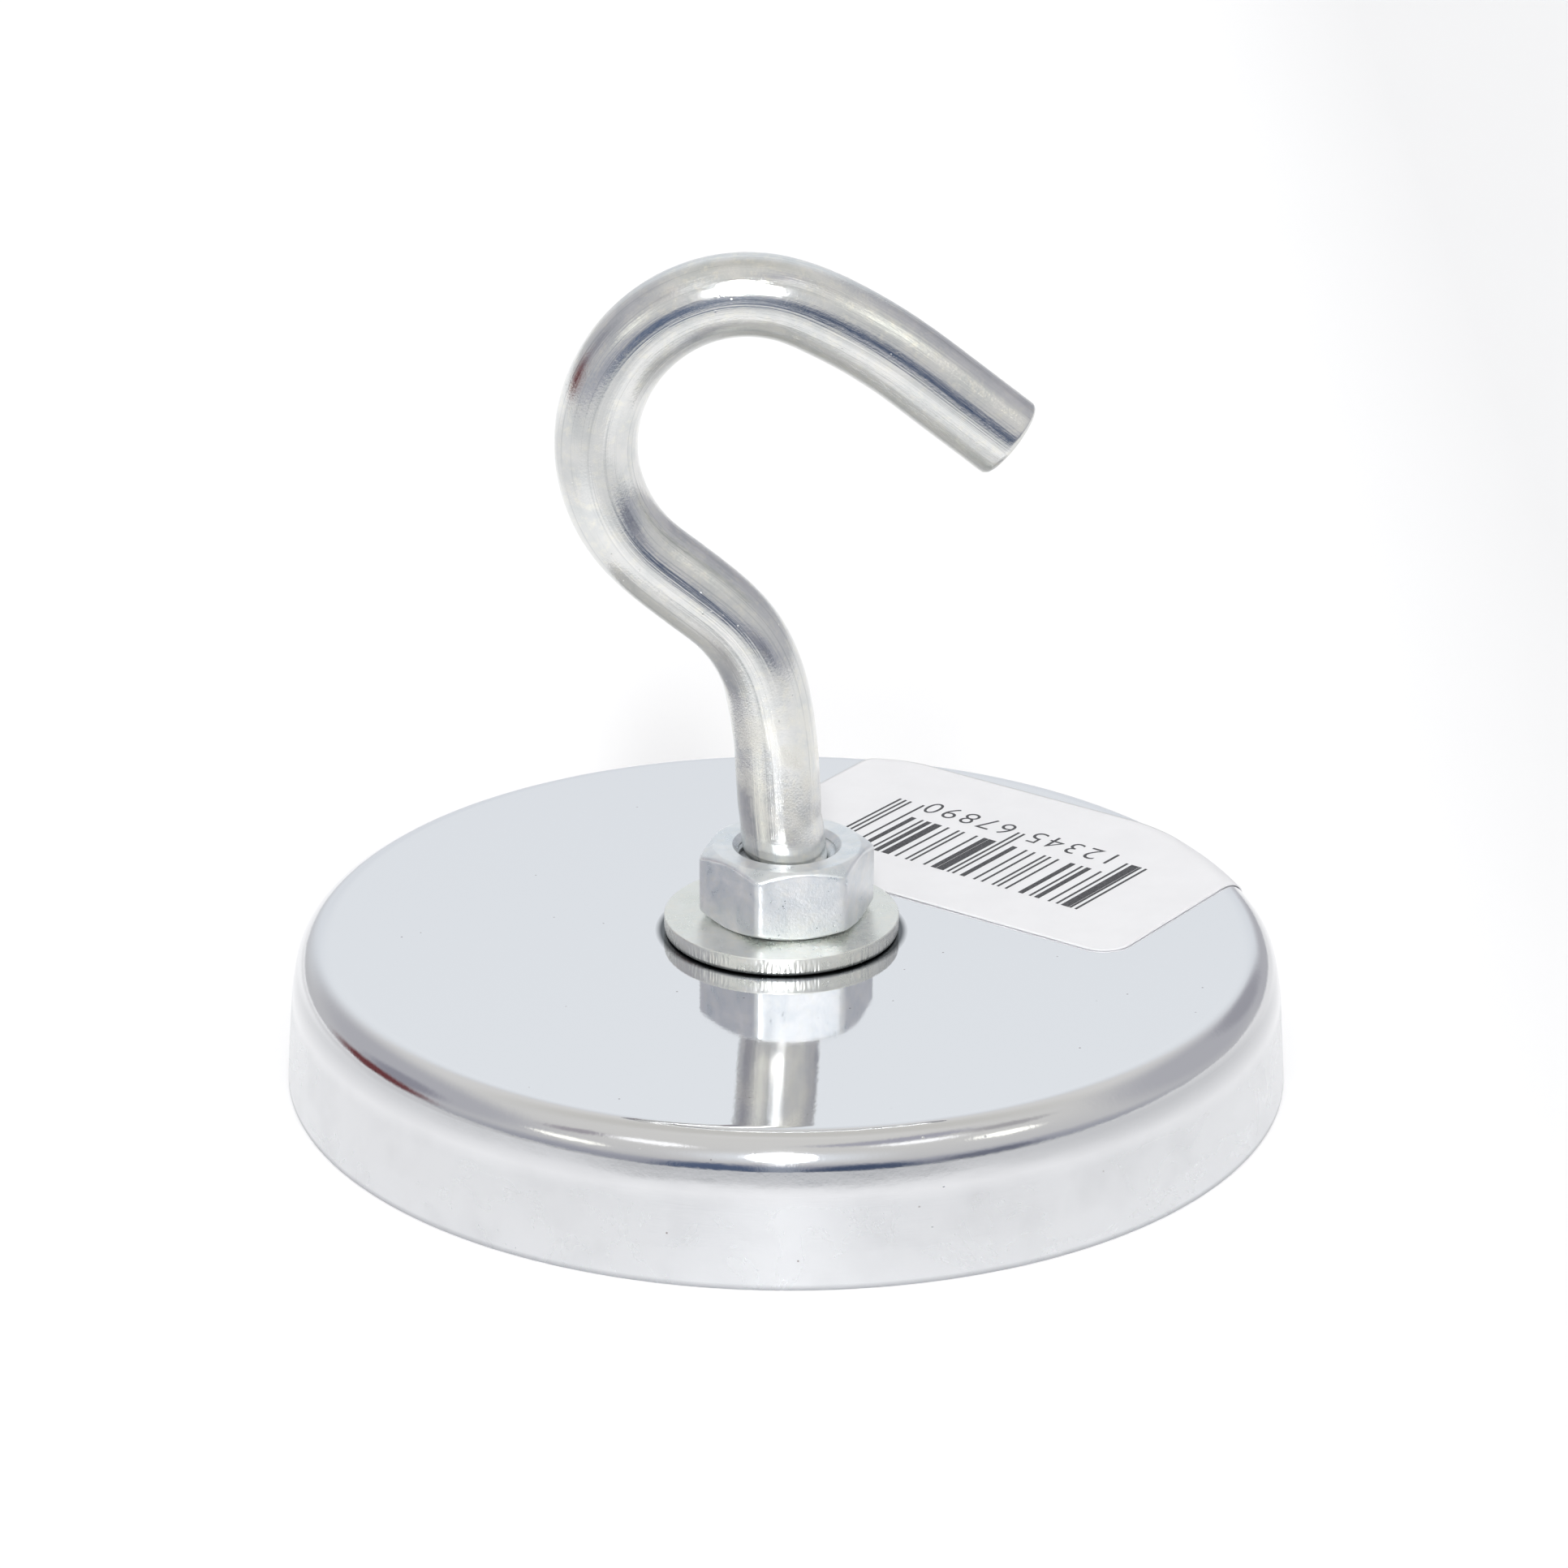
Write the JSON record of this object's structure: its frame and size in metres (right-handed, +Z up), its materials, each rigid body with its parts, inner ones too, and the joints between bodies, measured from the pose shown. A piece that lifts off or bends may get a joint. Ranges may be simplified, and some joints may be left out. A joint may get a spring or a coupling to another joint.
{
  "type": "magnet fishing magnet",
  "caption": "Flat round pot magnet in a plated steel cup, with a bent-rod hook screwed through its centre and clamped by a hexagon nut and washer.",
  "frame": {"origin": "centre of the pole face, the flat underside that grips steel, on the thread's axis", "axes": "+Z up along the thread's axis, from the pole face to the hook; the hook is bent in the XZ plane and its tip points to +X"},
  "size_m": [0.082, 0.082, 0.0694],
  "materials": {
    "cup_plate": "polished",
    "hook_zinc": "satin",
    "nut_zinc": "satin",
    "washer_zinc": "satin",
    "ferrite": "matte",
    "potting_resin": "satin",
    "adhesive": "matte",
    "label_paper": "matte"
  },
  "bodies": {
    "magnet_base": {"steel_cup": "cup_plate", "ferrite_ring": "ferrite", "bond_layer": "adhesive", "rim_resin": "potting_resin", "centre_resin": "potting_resin", "lower_washer": "washer_zinc", "anchor_nut": "nut_zinc", "barcode_label": "label_paper"},
    "turning_washer": {"flat_washer": "washer_zinc"},
    "hook_assembly": {"hook": "hook_zinc", "hex_nut": "nut_zinc"}
  },
  "joints": [
    {"name": "hook_turn", "type": "hinge", "parent": "magnet_base", "child": "turning_washer", "pos_m": [0, 0, 0.012], "axis": [0, 0, 1], "range_deg": [0, 1800]},
    {"name": "hook_rise", "type": "slide", "parent": "turning_washer", "child": "hook_assembly", "axis": [0, 0, 1], "range_m": [0, 0.00706]}
  ],
  "couplings": [
    {"joint": "hook_rise", "follows": "hook_turn", "m_per_rad": 0.00022458}
  ]
}
